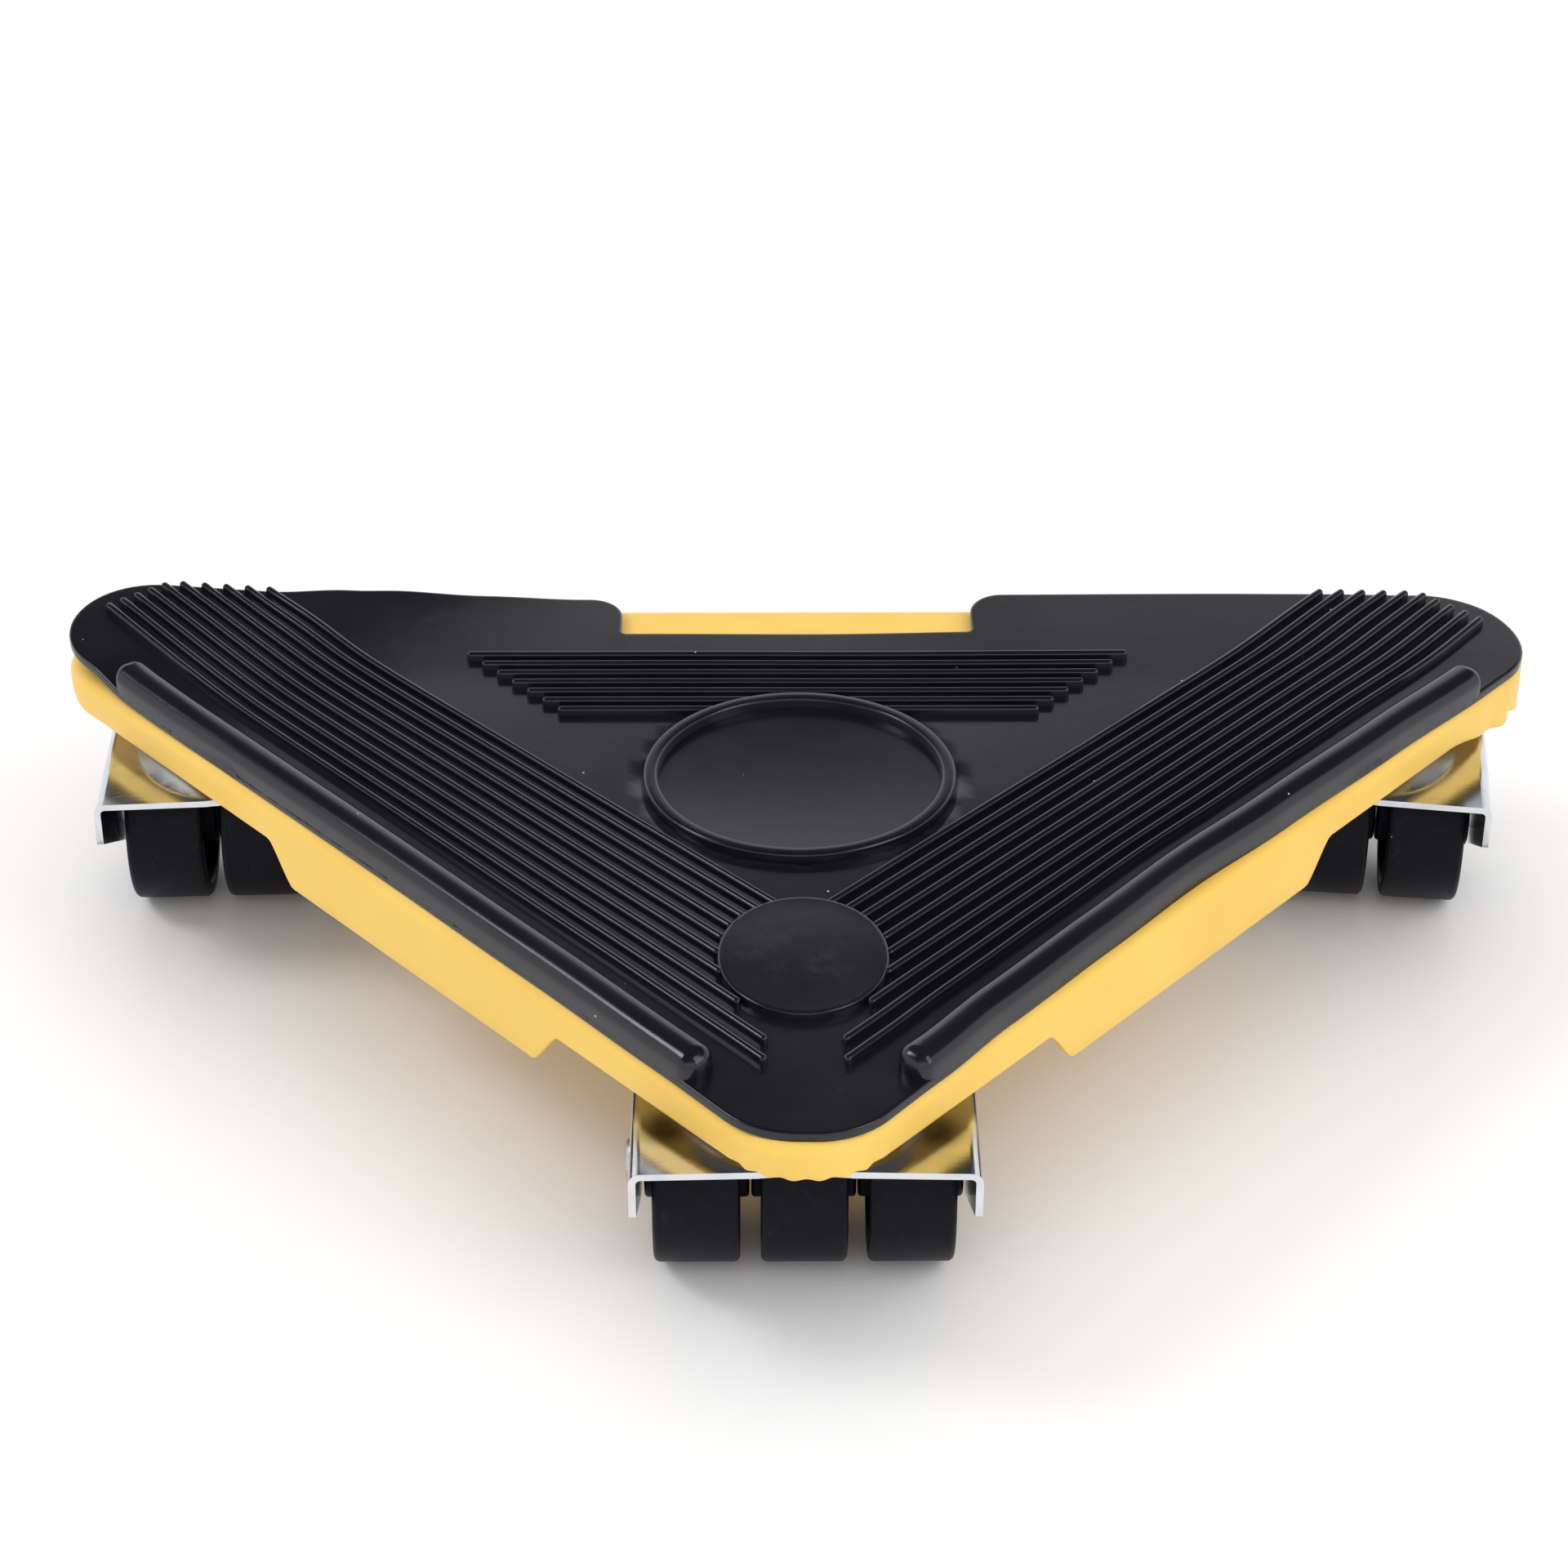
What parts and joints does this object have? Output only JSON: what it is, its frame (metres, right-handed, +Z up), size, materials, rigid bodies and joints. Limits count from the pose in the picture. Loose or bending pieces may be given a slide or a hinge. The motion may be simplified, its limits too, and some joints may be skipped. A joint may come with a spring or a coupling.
{
  "type": "furniture dolly",
  "caption": "Low three-cornered furniture dolly: a pressed steel deck with a ribbed rubber mat on top and a swivel caster of side-by-side wheels under each corner.",
  "frame": {"origin": "on the floor, under the middle of the deck's bounding box", "axes": "+X to the right along the back edge, +Y from the front corner to the back edge, +Z up"},
  "size_m": [0.346, 0.217, 0.0647],
  "materials": {
    "deck_steel": "yellow powder coat, satin",
    "mat_rubber": "black rubber, satin",
    "zinc_sheet": "bright zinc plating on pressed sheet",
    "bright_steel": "plain bright steel",
    "wheel_nylon": "black nylon, smooth satin"
  },
  "bodies": {
    "deck": {"deck": "deck_steel", "rubber_mat": "mat_rubber", "front_swivel_cup": "zinc_sheet", "front_kingpin": "bright_steel", "front_bearing_balls": "bright_steel", "front_kingpin_washer": "zinc_sheet", "left_swivel_cup": "zinc_sheet", "left_kingpin": "bright_steel", "left_bearing_balls": "bright_steel", "left_kingpin_washer": "zinc_sheet", "right_swivel_cup": "zinc_sheet", "right_kingpin": "bright_steel", "right_bearing_balls": "bright_steel", "right_kingpin_washer": "zinc_sheet"},
    "front_caster": {"front_bracket": "zinc_sheet", "front_axle": "bright_steel"},
    "left_caster": {"left_bracket": "zinc_sheet", "left_axle": "bright_steel"},
    "right_caster": {"right_bracket": "zinc_sheet", "right_axle": "bright_steel"},
    "front_wheel_l": {"front_wheel_left": "wheel_nylon"},
    "front_wheel_m": {"front_wheel_middle": "wheel_nylon"},
    "front_wheel_r": {"front_wheel_right": "wheel_nylon"},
    "left_wheel_l": {"left_wheel_left": "wheel_nylon"},
    "left_wheel_m": {"left_wheel_middle": "wheel_nylon"},
    "left_wheel_r": {"left_wheel_right": "wheel_nylon"},
    "right_wheel_l": {"right_wheel_left": "wheel_nylon"},
    "right_wheel_m": {"right_wheel_middle": "wheel_nylon"},
    "right_wheel_r": {"right_wheel_right": "wheel_nylon"}
  },
  "joints": [
    {"name": "front_swivel", "type": "hinge", "parent": "deck", "child": "front_caster", "pos_m": [0, -0.0707, 0.0462], "axis": [0, 0, 1], "continuous": true},
    {"name": "front_wheel_l_spin", "type": "hinge", "parent": "front_caster", "child": "front_wheel_l", "pos_m": [-0.0222, -0.064, 0.021], "axis": [1, 0, 0], "continuous": true},
    {"name": "front_wheel_m_spin", "type": "hinge", "parent": "front_caster", "child": "front_wheel_m", "pos_m": [0, -0.064, 0.021], "axis": [1, 0, 0], "continuous": true},
    {"name": "front_wheel_r_spin", "type": "hinge", "parent": "front_caster", "child": "front_wheel_r", "pos_m": [0.0222, -0.064, 0.021], "axis": [1, 0, 0], "continuous": true},
    {"name": "left_swivel", "type": "hinge", "parent": "deck", "child": "left_caster", "pos_m": [-0.12743, 0.0687, 0.0462], "axis": [0, 0, 1], "continuous": true},
    {"name": "left_wheel_l_spin", "type": "hinge", "parent": "left_caster", "child": "left_wheel_l", "pos_m": [-0.14985, 0.07462, 0.021], "axis": [0.9994, 0.0349, 0], "continuous": true},
    {"name": "left_wheel_m_spin", "type": "hinge", "parent": "left_caster", "child": "left_wheel_m", "pos_m": [-0.12766, 0.0754, 0.021], "axis": [0.9994, 0.0349, 0], "continuous": true},
    {"name": "left_wheel_r_spin", "type": "hinge", "parent": "left_caster", "child": "left_wheel_r", "pos_m": [-0.10548, 0.07617, 0.021], "axis": [0.9994, 0.0349, 0], "continuous": true},
    {"name": "right_swivel", "type": "hinge", "parent": "deck", "child": "right_caster", "pos_m": [0.12743, 0.0687, 0.0462], "axis": [0, 0, 1], "continuous": true},
    {"name": "right_wheel_l_spin", "type": "hinge", "parent": "right_caster", "child": "right_wheel_l", "pos_m": [0.10621, 0.07806, 0.021], "axis": [0.9925, -0.1219, 0], "continuous": true},
    {"name": "right_wheel_m_spin", "type": "hinge", "parent": "right_caster", "child": "right_wheel_m", "pos_m": [0.12825, 0.07535, 0.021], "axis": [0.9925, -0.1219, 0], "continuous": true},
    {"name": "right_wheel_r_spin", "type": "hinge", "parent": "right_caster", "child": "right_wheel_r", "pos_m": [0.15028, 0.07265, 0.021], "axis": [0.9925, -0.1219, 0], "continuous": true}
  ]
}
